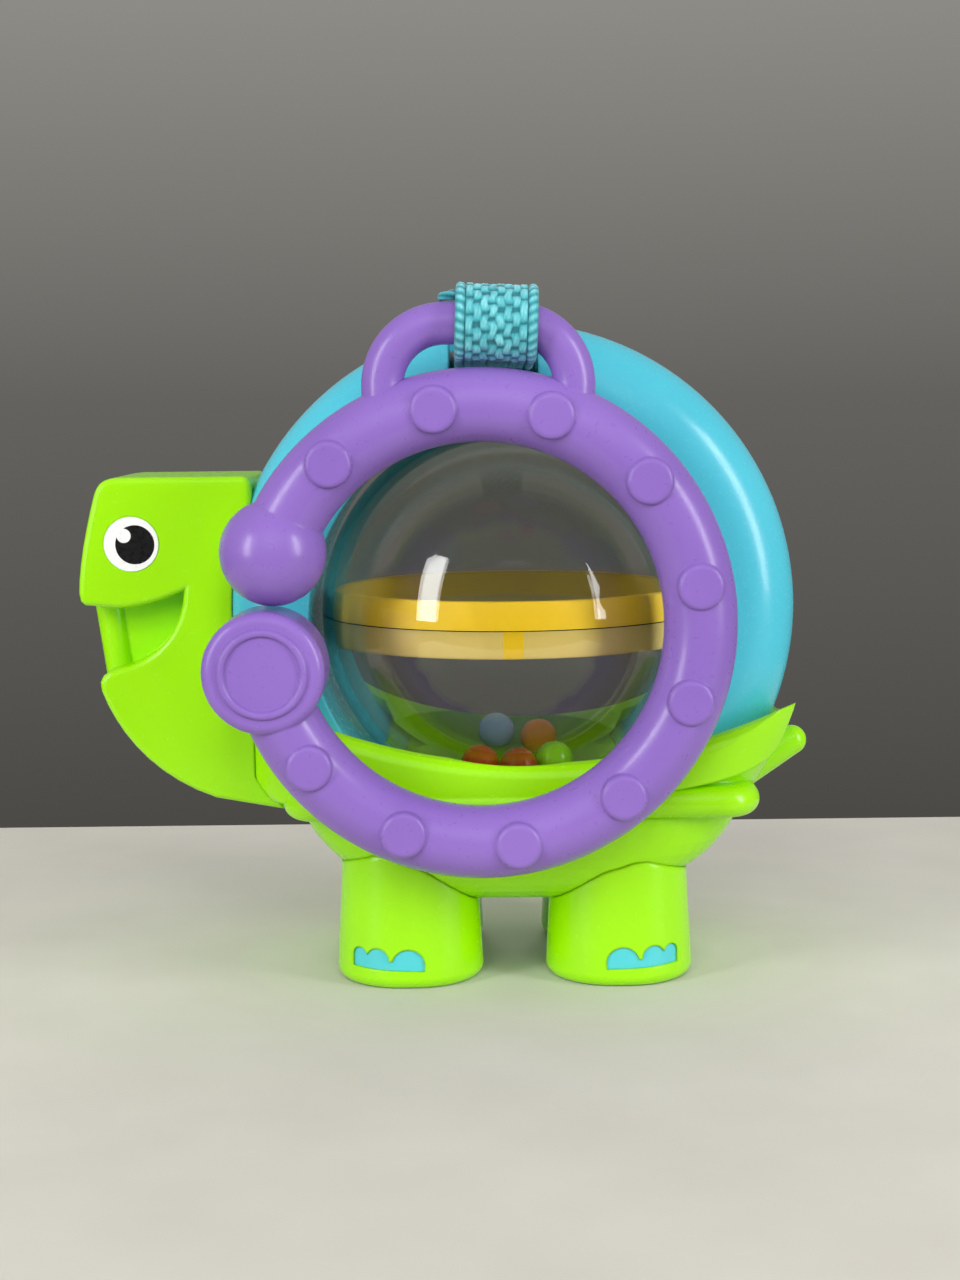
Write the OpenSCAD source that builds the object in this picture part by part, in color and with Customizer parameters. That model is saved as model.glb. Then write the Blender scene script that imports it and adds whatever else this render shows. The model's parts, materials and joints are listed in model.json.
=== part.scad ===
// Turtle rattle: a clear ball with beads spins in a shell arch, and a link ring hangs from a strap.
// Every piece is drawn about the ball's axis, with the table at z = 0 and the turtle's head at -x.

/* [Ball] */
// Diameter of the clear ball
ball_d = 61; // [54:0.5:66]
// Wall of the two clear domes
ball_wall = 1.6; // [1.2:0.1:2.4]
// Height of the ball's centre above the table
ball_z = 56.8; // [55:0.2:60]
// Height of the band inside the ball's equator
band_h = 8.4; // [6:0.2:12]
// Wall of the equator band
band_wall = 1.3; // [0.8:0.1:2.5]
// Width of the key on the band
key_w = 3; // [2:0.2:6]
// Diameter of one bead
bead_d = 6.2; // [4.5:0.1:6.2]
// Diameter of the two pivots that the ball turns on
pivot_d = 3; // [2:0.1:4]
// Wall of the two pivot bushes
bush_wall = 1.6; // [1:0.1:2.2]
// Length of one pivot bush
bush_l = 4.6; // [3:0.1:4.8]

/* [Shell arch] */
// Gap between the ball and the bore of the arch
arch_gap = 0.9; // [0.7:0.1:1.4]
// Radial width of the arch
arch_w = 13.2; // [12.5:0.1:15]
// How far the middle of the arch's outside lies over the middle of the ball
arch_lift = 1.4; // [0:0.1:2]
// Depth of the arch, front to rear
arch_depth = 35; // [32:0.5:36]
// Rounding of the outer edges of the arch
arch_round = 9; // [6:0.5:11]
// Wall of the hollow stretches of the arch
arch_wall = 2.4; // [1.8:0.1:3.5]

/* [Link ring] */
// Outer diameter of the link ring
ring_od = 76; // [70:0.5:80]
// Diameter of the ring's tube
ring_tube_d = 10.9; // [9:0.1:12]
// How far the ring hangs to the head's side of the ball's axis
ring_shift = 4.8; // [2:0.2:8]
// Height of the ring's centre above the ball's centre
ring_lift = 0.9; // [-1:0.1:1.5]
// Gap between the ring and the front of the body
ring_gap = 0.5; // [0.3:0.1:3]
// Diameter of one raised dot
dot_d = 6.9; // [4:0.1:8]
// Height of one raised dot above the tube
dot_h = 0.6; // [0.4:0.1:1.5]
// Turn of the pattern of dots about the ring's centre, in degrees
ring_turn = -4.3; // [-8:0.1:4]
// Diameter of the ball end
ball_end_d = 15.8; // [12:0.1:16]
// Diameter of the disc end
disc_end_d = 18.2; // [14:0.1:18.4]
// How far each face of the disc end stands proud of the tube
disc_proud = 0.6; // [0.4:0.1:1]
// Diameter of the tube of the loop on top of the ring
loop_tube_d = 6.2; // [5:0.1:6.4]
// Half width of the loop, to the middle of its tube
loop_half_w = 14; // [13:0.1:16]
// Bend radius of the loop's corners
loop_bend = 9; // [7:0.1:9.5]
// Height of the window between the ring and the loop
loop_window = 3.2; // [3:0.1:5]

/* [Strap] */
// Width of the webbing
strap_w = 12; // [9:0.5:14]
// Thickness of the webbing
strap_t = 1.2; // [0.8:0.1:1.4]
// How far the strap sits to the head's side of the ball's axis
strap_shift = 2.5; // [1:0.1:4]
// Room between the loop's tube and the webbing round it
strap_slack = 1.3; // [1.2:0.1:1.5]
// Diameter of the bar that holds the strap
strap_pin_d = 2.6; // [2:0.1:3]
// Depth of the bar below the crest of the arch
strap_pin_depth = 5.5; // [5:0.1:6]

/* [Body] */
// Half depth of the leaf-shaped lip in front of the arch
leaf_half = 23.2; // [22.5:0.1:24]
// Thickness of the lip outside the arch
leaf_wall = 2.9; // [2:0.1:4]
// Height of the lip's lowest point
lip_z = 35.4; // [34:0.1:37]
// Radius of the lip's long upper curve
lip_curve = 92; // [80:1:140]
// How much lower the lip is in the middle of its width
lip_sag = 3; // [1:0.1:4]
// Rounding of the lip's upper edge
lip_round = 2.2; // [1:0.1:3]
// Reach of the lip towards the head, from the ball's axis
collar_reach = 42.5; // [41.5:0.1:43.5]
// Half length of the rolled rim
rim_half_l = 37; // [36:0.2:39]
// Half depth of the rolled rim
rim_half_w = 23.6; // [23:0.1:24]
// Height of the rolled rim
rim_h = 5; // [4.4:0.1:6]
// Height of the rim's underside above the table
rim_z = 26.6; // [26:0.1:27.4]
// Height of the lowest point of the belly
belly_z = 12.8; // [11:0.2:14]
// Wall of the belly bowl
belly_wall = 2.2; // [1.6:0.1:3]
// Radius of the tail's tip
tail_r = 2.4; // [2:0.1:2.8]
// Radius of the tail's root
tail_root_r = 3.9; // [3.2:0.1:4.2]
// Reach of the tail from the ball's axis
tail_reach = 48.3; // [47:0.1:52]

/* [Head] */
// Height of the crown of the head
head_top_z = 79.5; // [78:0.1:81]
// Half thickness of the head
head_half = 12.8; // [11:0.1:14]
// Rounding of the head's edges
head_round = 1; // [0.6:0.1:1.2]
// Half thickness of the web inside the mouth
web_half = 6.5; // [4:0.1:9]
// Radius of the post at the web's front edge
post_r = 2.3; // [1.8:0.1:2.6]
// Reach of the nose from the ball's axis
nose_reach = 67.6; // [66:0.1:72]
// Diameter of the white of an eye
eye_d = 8.5; // [6:0.1:10]
// Diameter of a pupil
pupil_d = 6.1; // [4:0.1:6.4]
// Diameter of the glint in a pupil
glint_d = 2.2; // [1:0.1:2.4]
// Depth of the printed eye discs
eye_t = 0.6; // [0.4:0.1:1]

/* [Legs] */
// Distance between the two legs of one side, middle to middle
leg_pitch = 33.2; // [30:0.2:36]
// Distance from the middle plane to the middle of a leg
leg_y = 11.7; // [11.4:0.1:12]
// Half width of a foot at the table
foot_half_w = 11.6; // [10:0.1:12.4]
// Half width of a leg where it meets the rim
leg_top_half_w = 10.2; // [8.5:0.1:11]
// Depth of a leg as a share of its width
leg_oval = 0.9; // [0.78:0.01:0.92]
// Rounding of the foot's lower edge
foot_round = 1.8; // [0.8:0.1:3]
// Depth of the toenails below the foot's skin
nail_sunk = 0.3; // [0.1:0.1:0.6]
// Thickness of the toenails
nail_t = 1; // [0.6:0.1:1.6]
// Height of the toenails' lower edge above the table
nail_z = 3.3; // [2.6:0.1:6]
// Turn of the toenails towards the outside, in degrees
nail_turn = 20; // [0:1:35]

/* [Fasteners] */
// Diameter of a screw's shank
screw_d = 2.4; // [2:0.1:3]
// Diameter of a screw's head
screw_head_d = 4.8; // [4:0.1:5.4]
// Height of a screw's head
screw_head_h = 1.8; // [1.2:0.1:2.2]
// Length of a screw below its head
screw_l = 14; // [11:0.5:16]
// Length of a short screw, in a leg or under the belly, below its head
short_screw_l = 9; // [6:0.5:9.5]

/* [Fits] */
// Radial running clearance of a pivot in its bush
running_fit = 0.05; // [0.02:0.01:0.1]
// Gap between faces that seat on each other
seat_gap = 0.1; // [0.05:0.05:0.3]
// Gap between pieces that move past each other
moving_gap = 0.4; // [0.3:0.1:0.8]

/* [Hidden] */
$fn = 64;
big = 300;
green = "#94DE00";
teal = "#4DBFD0";
purple = "#8F6BC4";
yellow = "#F2C81E";
steel = "#B8BCC0";
ball_r = ball_d / 2;
dome_in = ball_r - ball_wall;
arch_in = ball_r + arch_gap;
arch_r = arch_in + arch_w;
arch_half = arch_depth / 2;
ring_r = (ring_od - ring_tube_d) / 2;
tube_r = ring_tube_d / 2;
body_half = max(leaf_half, rim_half_w);
ring_y = -(body_half + ring_gap + tube_r);
ring_z = ball_z + ring_lift;
loop_tube_r = loop_tube_d / 2;
loop_z = ring_od / 2 + loop_window + loop_tube_r;
disc_end_t = ring_tube_d + 2 * disc_proud;
front_reach = -ring_y + max(tube_r + dot_h, disc_end_t / 2, ball_end_d / 2);
// The frame's origin is on the table, under the middle of the whole toy
origin_shift = [(nose_reach - tail_reach) / 2, (front_reach - ball_r) / 2, 0];
flange_r = pivot_d / 2 + bush_wall;
flange_t = arch_gap - moving_gap;
pivot_end = arch_in + bush_l;
pin_z = ball_z + arch_lift + arch_r - strap_pin_depth;
pin_r = strap_pin_d / 2;
strap_in_r = loop_tube_r + strap_slack;
strap_root_r = pin_r + moving_gap;
strap_run = [-ring_y, ring_z + loop_z - pin_z];
strap_len = norm(strap_run);
strap_rise = atan2(strap_run[1], strap_run[0]);
slot_half = strap_w / 2 + 2 * moving_gap;
// The strap's lower run falls towards the loop where the loop is low, and the slot follows it
strap_taper = asin((strap_in_r - strap_root_r) / strap_len);
strap_fall = arch_half * max(0, tan(strap_taper - strap_rise));
slot_floor = pin_z - (strap_root_r + strap_t) / cos(strap_taper - strap_rise) - moving_gap - strap_fall;
slot_rear = strap_root_r + strap_t + 2 * moving_gap;
leaf_r = arch_r + leaf_wall;
leaf_round = arch_round + 2;
fold_half = leaf_half - 2.2;
fold_r = leaf_r - 1;
lip_x = 3.5;
collar_corner = 20;
rim_top = rim_z + rim_h;
rim_x = 1.2;
rim_corner = 6;
screw_r = screw_d / 2;
head_seat = 6;
tongue = [12.5, 6, 5.4];
tongue_at = [-51.5, 0, 35.2];
eye_at = [8.5 - nose_reach, head_top_z - 10.3];
pupil_at = eye_at + [0.6, -0.1];
glint_at = pupil_at + [-1.7, 1.4];
eye_proud = 0.15;
key_proud = 0.6;
// Places of the dots and of the split round the ring, in degrees
dot_first = 136.3;
dot_step = 30.4;
split_at = 179.7;
pin_hold = 4;
cup_wall = 0.6;
// The floor under the ball
saucer_r = 13;
saucer_wall = 1.8;
saucer_z = ball_z - ball_r - moving_gap - saucer_wall;
// Middles of the beads at rest, across and along the ball, measured from the ball's axis
bead_red_at = [-5.2, -4.2];
bead_dark_red_at = [1, -6.6];
bead_orange_at = [4.8, 10];
bead_green_at = [6.9, -3.2];
bead_blue_at = [-2.4, 12.3];
// Screws of the arch: angle about the ball's centre, on the middle radius of the arch
shell_screw_angles = [-12, 57, 123, 192];
shell_screw_r = arch_in + arch_w / 2;
head_screws_at = [[tongue_at[0] + 4.5, tongue_at[2]], [-49.5, 71]];
belly_screw_x = [-25.5, 27];
belly_screw_seat = rim_z - 4.8;
leg_screw_seat = belly_z + belly_wall + 1.2;
leg_top_z = rim_z - 1.3;
boss_r = screw_head_d / 2 + 1.8;

// Helpers
module placed() { translate(origin_shift) children(); }
module half_space(side) { translate([-big / 2, side > 0 ? 0 : -big, -big / 2]) cube([big, big, big]); }
module along_y(x, z, y0, y1, r) { translate([x, y0, z]) rotate([-90, 0, 0]) cylinder(h = y1 - y0, r = r); }
module round_ball(turn = 360, from = 0) {
    translate([0, 0, ball_z]) rotate([90, 0, 0]) rotate([0, 0, from]) rotate_extrude(angle = turn) children();
}
module band_profile(r_in, r_out, half, fillet) {
    intersection() {
        union() {
            translate([r_in, -half]) square([r_out - fillet - r_in, 2 * half]);
            translate([r_in, fillet - half]) square([r_out - r_in, 2 * (half - fillet)]);
            for (s = [-1, 1]) translate([r_out - fillet, s * (half - fillet)]) circle(fillet);
        }
        translate([r_in, -half]) square([r_out - r_in, 2 * half]);
    }
}
function curve(p, t) = let (u = 1 - t) u*u*u*p[0] + 3*u*u*t*p[1] + 3*u*t*t*p[2] + t*t*t*p[3];
function curve_points(p, n) = [for (i = [0:n - 1]) curve(p, i / n)];
function soft_sign(v, power) = sign(v) * pow(abs(v), power);

// Screws: rear ones point to the front, along -y, and upright ones point up
module screw(l = screw_l) {
    cylinder(h = l, r = screw_r);
    difference() {
        translate([0, 0, -screw_head_h]) cylinder(h = screw_head_h, r = screw_head_d / 2);
        for (a = [0, 90]) rotate(a) translate([-1.4, -0.3, -screw_head_h - 0.1]) cube([2.8, 0.6, 0.9]);
    }
}
module screw_room(l = screw_l) {
    cylinder(h = l, r = screw_r);
    translate([0, 0, -big]) cylinder(h = big, r = screw_head_d / 2 + seat_gap);
}
module rear_screw_place(at) { translate([at[0], head_seat, at[1]]) rotate([90, 0, 0]) children(); }
function on_arch(a) = [shell_screw_r * cos(a), ball_z + shell_screw_r * sin(a)];

// Ball
module dome(side) {
    translate([0, 0, ball_z]) difference() {
        sphere(ball_r, $fn = 96);
        sphere(dome_in, $fn = 96);
        translate([-big / 2, -big / 2, side > 0 ? -big : 0]) cube([big, big, big]);
        translate([0, 0, side * (ball_r - flange_t) - (side > 0 ? 0 : big)]) cylinder(h = big, r = flange_r);
    }
}
module upper_dome() { color("white", 0.3) placed() dome(1); }
module lower_dome() { color("white", 0.3) placed() dome(-1); }
module equator_band() {
    band_out = dome_in - seat_gap;
    color(yellow) placed() translate([0, 0, ball_z]) {
        difference() {
            sphere(band_out, $fn = 96);
            sphere(band_out - band_wall, $fn = 96);
            for (s = [0, 1]) mirror([0, 0, s])
                translate([-big / 2, -big / 2, band_h / 2]) cube([big, big, big]);
        }
        intersection() {
            sphere(band_out, $fn = 96);
            translate([key_w / 2, band_wall + key_proud - band_out, -band_h / 2]) mirror([1, 1, 0])
                cube([band_h, key_w, band_h / 2]);
        }
    }
}
module pivot(side) {
    translate([0, 0, ball_z]) mirror([0, 0, side > 0 ? 0 : 1]) {
        translate([0, 0, ball_r - flange_t]) cylinder(h = 2 * flange_t, r = flange_r - seat_gap);
        translate([0, 0, ball_r]) cylinder(h = pivot_end - ball_r - moving_gap, r = pivot_d / 2);
    }
}
module bush(side) {
    translate([0, 0, ball_z]) mirror([0, 0, side > 0 ? 0 : 1]) translate([0, 0, arch_in]) difference() {
        cylinder(h = bush_l, r = flange_r);
        translate([0, 0, -1]) cylinder(h = bush_l + 2, r = pivot_d / 2 + running_fit);
    }
}
module bush_room(side) {
    translate([0, 0, ball_z]) mirror([0, 0, side > 0 ? 0 : 1])
        translate([0, 0, ball_r]) cylinder(h = pivot_end - ball_r, r = flange_r);
}
module upper_pivot() { color("white") placed() pivot(1); }
module lower_pivot() { color("white") placed() pivot(-1); }
module upper_bush() { color("gray") placed() bush(1); }
module lower_bush() { color("gray") placed() bush(-1); }
module bead(at) {
    path_r = dome_in - bead_d / 2 - moving_gap;
    translate([at[0], at[1], ball_z - sqrt(path_r * path_r - at * at)]) sphere(bead_d / 2);
}
module bead_red() { color("red") placed() bead(bead_red_at); }
module bead_dark_red() { color("firebrick") placed() bead(bead_dark_red_at); }
module bead_orange() { color("orange") placed() bead(bead_orange_at); }
module bead_green() { color("yellowgreen") placed() bead(bead_green_at); }
module bead_blue() { color("lightsteelblue") placed() bead(bead_blue_at); }

// Shell arch
module lifted() { translate([0, 0, arch_lift]) children(); }
module arch_space(gap) {
    lifted() round_ball() band_profile(ball_r, arch_r + gap, arch_half + gap, arch_round);
}
module shell_half(side) {
    difference() {
        lifted() round_ball() band_profile(arch_in - 2 * arch_lift, arch_r, arch_half, arch_round);
        along_y(0, ball_z, -arch_half - 1, arch_half + 1, arch_in);
        half_space(-side);
        translate([-big / 2, -big / 2, rim_top - big]) cube([big, big, big]);
        for (from = [2, 137]) {
            round_ball(41, from)
                band_profile(
                    arch_in + arch_wall, arch_r - arch_wall, arch_half - arch_wall, arch_round - arch_wall);
        }
        for (end = [-1, 1]) bush_room(end);
        translate([-strap_shift - slot_half, -big, slot_floor]) cube([2 * slot_half, big + slot_rear, big]);
        strap_bar();
        for (a = shell_screw_angles) rear_screw_place(on_arch(a)) screw_room();
    }
}
module shell_front_half() { color(teal) placed() shell_half(-1); }
module shell_rear_half() { color(teal) placed() shell_half(1); }
module shell_screws() {
    color(steel) placed() for (a = shell_screw_angles) rear_screw_place(on_arch(a)) screw();
}
module strap_bar() {
    translate([-strap_shift, 0, pin_z]) rotate([0, 90, 0])
        cylinder(h = 2 * (slot_half + pin_hold), r = pin_r, center = true);
}
module strap_pin() { color(steel) placed() strap_bar(); }

// Strap: a belt round the bar in the arch and the loop of the ring
strap_steps = 20;
function belt(r0, r1) = let (q = acos((r0 - r1) / strap_len)) concat(
    [for (i = [0:strap_steps]) let (a = q + (360 - 2 * q) * i / strap_steps) r0 * [cos(a), sin(a)]],
    [for (i = [0:strap_steps]) let (a = 2 * q * i / strap_steps - q)
        [strap_len, 0] + r1 * [cos(a), sin(a)]]);
module strap_webbing() {
    color("#45B5BE") placed() translate([-strap_shift - strap_w / 2, 0, pin_z]) rotate([90, 0, -90])
        mirror([0, 0, 1]) rotate(strap_rise) linear_extrude(strap_w) difference() {
            polygon(belt(strap_root_r + strap_t, strap_in_r + strap_t));
            polygon(belt(strap_root_r, strap_in_r));
        }
}

// Link ring, drawn about its own centre and standing in the plane of the strap's loop
module loop_half() {
    translate([0, 0, loop_z]) rotate([0, 90, 0]) cylinder(h = loop_half_w - loop_bend, r = loop_tube_r);
    translate([loop_half_w - loop_bend, 0, loop_z - loop_bend]) rotate([90, 0, 0])
        rotate_extrude(angle = 90) translate([loop_bend, 0]) circle(loop_tube_r);
    translate([loop_half_w, 0, ring_r - 4]) cylinder(h = loop_z - loop_bend - ring_r + 4, r = loop_tube_r);
}
module dot() {
    edge = 0.8;
    rotate_extrude() {
        square([dot_d / 2, tube_r + dot_h - edge]);
        square([dot_d / 2 - edge, tube_r + dot_h]);
        translate([dot_d / 2 - edge, tube_r + dot_h - edge]) circle(edge);
    }
}
module dots() {
    for (i = [0:9]) rotate([0, dot_step * i - dot_first - ring_turn, 0])
        translate([ring_r, 0, 0]) rotate([90, 0, 0]) dot();
}
module disc_end() {
    edge = 1.6;
    circle_r = disc_end_d / 2 - 3;
    rotate([90, 0, 0]) rotate_extrude() band_profile(0, disc_end_d / 2, disc_end_t / 2, edge);
    translate([0, -disc_end_t / 2, 0]) rotate([90, 0, 0])
        rotate_extrude() translate([circle_r, 0]) circle(disc_proud);
}
module link_ring() {
    split = asin((ball_end_d + disc_end_d + 2 * moving_gap) / 4 / ring_r);
    gap_at = split_at + ring_turn;
    color(purple) placed() translate([-ring_shift, ring_y, ring_z]) {
        rotate([90, 0, 0]) rotate(gap_at + split) rotate_extrude(angle = 360 - 2 * split, $fn = 128)
            translate([ring_r, 0]) circle(tube_r);
        rotate([0, split - gap_at, 0]) translate([ring_r, 0, 0]) sphere(ball_end_d / 2);
        rotate([0, -split - gap_at, 0]) translate([ring_r, 0, 0]) disc_end();
        dots();
        loop_half();
        mirror([1, 0, 0]) loop_half();
    }
}

// Body
module rolled_slab(half_l, half_w, corner, h) {
    roll = h / 2;
    corner_x = half_l - corner;
    corner_y = half_w - corner;
    for (x = [-1, 1], y = [-1, 1]) translate([x * corner_x, y * corner_y, roll]) rotate_extrude() {
        translate([0, -roll]) square([corner - roll, h]);
        intersection() {
            translate([corner - roll, 0]) circle(roll);
            translate([0, -roll]) square([corner, h]);
        }
    }
    translate([-corner_x, roll - half_w, 0]) cube([2 * corner_x, 2 * (half_w - roll), h]);
    translate([roll - half_l, -corner_y, 0]) cube([2 * (half_l - roll), 2 * corner_y, h]);
    for (y = [-1, 1]) translate([0, y * (half_w - roll), roll]) rotate([0, 90, 0])
        cylinder(h = 2 * corner_x, r = roll, center = true);
    for (x = [-1, 1]) translate([x * (half_l - roll), 0, roll]) rotate([90, 0, 0])
        cylinder(h = 2 * corner_y, r = roll, center = true);
}
// The space over the lip: a wide drum across the toy that flares at both ends and so rounds the lip's edge
module above_lip(raise, half) {
    flare = [for (q = [0, 30, 60, 84])
        [lip_curve + lip_round * (1 - cos(q)), half - lip_round * (1 - sin(q))]];
    far = [lip_curve + 2 * lip_round, half + lip_round];
    sag = [[lip_curve + lip_sag, half / 9], [lip_curve + 0.75 * lip_sag, half / 2]];
    edge = concat(sag, flare, [far]);
    n = len(edge);
    translate([lip_x, 0, lip_z + raise + lip_curve]) rotate([90, 0, 0]) rotate_extrude($fn = 128)
        polygon(concat(
            [[0, -far[1]]], [for (i = [1:n]) [edge[n - i][0], -edge[n - i][1]]], edge, [[0, far[1]]]));
}
module below(z) { translate([-big / 2, -big / 2, z - big]) cube([big, big, big]); }
// Seen from above, the lip has straight sides and a round end at the head
module leaf_plan(gap) {
    x = -collar_reach - gap;
    half = leaf_half + 1;
    middle = half - collar_corner;
    translate([x + collar_corner, -half, 0]) cube([big, 2 * half, big]);
    translate([x, -middle, 0]) cube([big, 2 * middle, big]);
    for (s = [-1, 1]) translate([x + collar_corner, s * middle, 0]) cylinder(h = big, r = collar_corner);
}
module leaf_space(gap) {
    difference() {
        intersection() {
            round_ball() band_profile(0, leaf_r + gap, leaf_half + gap, leaf_round);
            leaf_plan(gap);
        }
        above_lip(gap, leaf_half + gap);
        below(rim_z + rim_h / 2);
    }
}
// Over the tail the leaf is thinner than the collar and follows the shell between these two angles
leaf_tip_r = leaf_r - 2;
leaf_tip_a = 24;
leaf_tip = [for (a = [-leaf_tip_a:6:leaf_tip_a]) [leaf_tip_r * cos(a), ball_z + leaf_tip_r * sin(a)]];
// The leaf's lower edge leaves the rim, runs level and turns up to the tip over the tail
leaf_edge = curve_points([[4, rim_z], [20, lip_z - 3.2], [39, lip_z - 4.2], leaf_tip[0]], 12);
module leaf() {
    intersection() {
        leaf_space(0);
        rotate([90, 0, 0]) linear_extrude(big, center = true)
            polygon(concat([[-big, rim_z]], leaf_edge, leaf_tip, [[leaf_tip_r, big], [-big, big]]));
    }
}
module fold() {
    difference() {
        intersection() {
            round_ball() band_profile(0, fold_r, fold_half, leaf_round);
            leaf_plan(-1);
        }
        above_lip(-1, fold_half);
        below(rim_z + rim_h / 2);
    }
}
module tail() {
    tip = [tail_reach - tail_r, 0, lip_z - 0.4];
    root = [36, 0, rim_z + 3.4];
    reach = norm(tip - root);
    lean = atan2(tip[0] - root[0], tip[2] - root[2]);
    translate(root) rotate([0, lean, 0]) rotate_extrude() intersection() {
        union() {
            polygon([[0, 0], [tail_root_r, 0], [tail_r, reach], [0, reach]]);
            translate([0, reach]) circle(tail_r);
        }
        square([tail_root_r, reach + tail_r]);
    }
}
module cradle() {
    color(green) placed() {
        difference() {
            union() {
                rolled_rim();
                leaf();
                fold();
                tail();
                translate([tongue_at[0], -tongue[1] / 2, tongue_at[2] - tongue[2] / 2]) cube(tongue);
                translate([0, 0, saucer_z]) cylinder(h = rim_z + cup_wall - saucer_z, r = saucer_r);
                translate([0, 0, ball_z - pivot_end - cup_wall])
                    cylinder(h = pivot_end - ball_z + saucer_z + 2 * cup_wall, r = flange_r + 2);
            }
            translate([0, 0, ball_z]) rotate([90, 0, 0]) sphere(ball_r + moving_gap, $fn = 96);
            difference() {
                arch_space(seat_gap);
                below(rim_top);
            }
            bush_room(-1);
            rear_screw_place(head_screws_at[0]) screw_room();
            for (x = belly_screw_x) translate([x, 0, belly_screw_seat])
                cylinder(h = short_screw_l, r = screw_r);
        }
    }
}
module rolled_rim(gap = 0) {
    translate([rim_x, 0, rim_z - gap])
        rolled_slab(rim_half_l + gap, rim_half_w + gap, rim_corner + gap, rim_h + 2 * gap);
}

// Belly bowl: rings of a rounded outline that shrink towards the bottom along two curves
belly_sides = 48;
belly_rings = 10;
belly_power = 0.55;
function belly_ring(t, wall) = let (
        a = curve([rim_half_l - 1.5, rim_half_l - 3.5, rim_half_l - 7.5, rim_half_l - 23], t) - wall,
        b = curve([rim_half_w - 1.4, rim_half_w - 0.9, rim_half_w - 1, rim_half_w - 8.6], t) - wall,
        z = curve([rim_z, rim_z - 4.5, belly_z + 2.2, belly_z], t) + wall * t)
    [for (i = [0:belly_sides - 1]) let (q = 360 * i / belly_sides)
        [rim_x + a * soft_sign(cos(q), belly_power), b * soft_sign(sin(q), belly_power), z]];
module belly_form(wall) {
    points = [for (k = [0:belly_rings]) each belly_ring(k / belly_rings, wall)];
    n = belly_sides;
    sides = [for (k = [0:belly_rings - 1], i = [0:n - 1]) let (j = (i + 1) % n)
        each [[k * n + i, k * n + j, (k + 1) * n + i], [k * n + j, (k + 1) * n + j, (k + 1) * n + i]]];
    top = [for (i = [1:n - 2]) [0, i + 1, i]];
    bottom = [for (i = [1:n - 2]) [belly_rings * n, belly_rings * n + i, belly_rings * n + i + 1]];
    polyhedron(concat(points), concat(sides, top, bottom));
}
module belly_bowl() {
    color(green) placed() difference() {
        union() {
            difference() {
                belly_form(0);
                belly_form(belly_wall);
            }
            for (x = belly_screw_x) intersection() {
                belly_form(0);
                translate([x, 0, 0]) cylinder(h = rim_z, r = boss_r);
            }
            intersection() {
                belly_form(0);
                leg_places() cylinder(h = leg_screw_seat, r = boss_r);
            }
        }
        for (x = belly_screw_x) translate([x, 0, belly_screw_seat]) screw_room(short_screw_l);
        leg_places() leg_screw_place() screw_room(short_screw_l);
    }
}
module belly_screws() {
    color(steel) placed() for (x = belly_screw_x) translate([x, 0, belly_screw_seat]) screw(short_screw_l);
}

// Legs: oval tapered columns, cut by the belly on top
module leg_place(x, y) { translate([x * leg_pitch / 2, y * leg_y, 0]) children(); }
module leg_places() { for (x = [-1, 1], y = [-1, 1]) leg_place(x, y) children(); }
module leg_profile(inset) {
    foot = foot_half_w * leg_oval - inset;
    polygon([[0, 0], [foot - foot_round, 0], [foot - foot_round, foot_round], [foot, foot_round],
        [leg_top_half_w * leg_oval - inset, leg_top_z], [0, leg_top_z]]);
    translate([foot - foot_round, foot_round]) circle(foot_round);
}
module leg_column(inset) {
    stretch = foot_half_w * (1 - leg_oval);
    for (a = [0, 180]) rotate(a) {
        translate([stretch, 0, 0]) rotate(-90) rotate_extrude(angle = 180) leg_profile(inset);
        translate([-stretch, 0, 0]) rotate([90, 0, 90]) linear_extrude(2 * stretch) leg_profile(inset);
    }
}
module leg_screw_place() { translate([0, 0, leg_screw_seat]) mirror([0, 0, 1]) children(); }
module nail_outline() {
    intersection() {
        union() {
            polygon([[-5.8, 0], [5.8, -0.4], [5.8, 0.9], [-5.8, 1.5]]);
            translate([-4.5, 1.7]) circle(1.35);
            translate([-1.4, 1.2]) circle(1.95);
            translate([3.4, 0.6]) circle(2.45);
        }
        polygon([[-6, 0], [6, -0.4], [6, 5], [-6, 5]]);
    }
}
module nail_block(x, y) {
    rotate([0, 0, y > 0 ? 180 - x * nail_turn : x * nail_turn]) rotate([90, 0, 0]) linear_extrude(20)
        translate([0, nail_z]) mirror([x * y > 0 ? 0 : 1, 0, 0]) nail_outline();
}
module leg(x, y) {
    difference() {
        leg_place(x, y) difference() {
            leg_column(0);
            difference() {
                nail_block(x, y);
                leg_column(nail_sunk + nail_t);
            }
            leg_screw_place() screw_room(short_screw_l);
        }
        belly_form(-seat_gap);
    }
}
module nails(x, y) {
    leg_place(x, y) intersection() {
        nail_block(x, y);
        difference() {
            leg_column(nail_sunk);
            leg_column(nail_sunk + nail_t);
        }
    }
}
module leg_front_left() { color(green) placed() leg(-1, -1); }
module leg_front_right() { color(green) placed() leg(1, -1); }
module leg_rear_left() { color(green) placed() leg(-1, 1); }
module leg_rear_right() { color(green) placed() leg(1, 1); }
module toenails_front_left() { color(teal) placed() nails(-1, -1); }
module toenails_front_right() { color(teal) placed() nails(1, -1); }
module toenails_rear_left() { color(teal) placed() nails(-1, 1); }
module toenails_rear_right() { color(teal) placed() nails(1, 1); }
module leg_screws() { color(steel) placed() leg_places() leg_screw_place() screw(short_screw_l); }

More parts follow.
